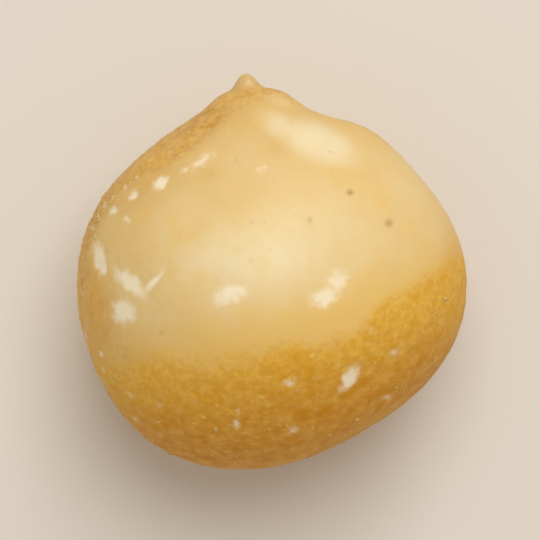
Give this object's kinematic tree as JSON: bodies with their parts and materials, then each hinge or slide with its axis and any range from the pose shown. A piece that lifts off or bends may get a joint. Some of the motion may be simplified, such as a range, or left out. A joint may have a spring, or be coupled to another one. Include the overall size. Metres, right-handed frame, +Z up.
{
  "type": "macadamia kernel",
  "caption": "Shelled macadamia kernel: a rounded cream and amber seed with a small blunt beak, lying on a flat spot.",
  "frame": {"origin": "on the surface it rests on, under the middle of its outline", "axes": "+Y towards the beak, which is raised 12 degrees from level; +Z up; +X to the right when seen from above with the beak pointing away"},
  "size_m": [0.0178, 0.018, 0.0162],
  "materials": {
    "kernel": "satin"
  },
  "bodies": {
    "root": {"kernel": "kernel"}
  },
  "joints": []
}
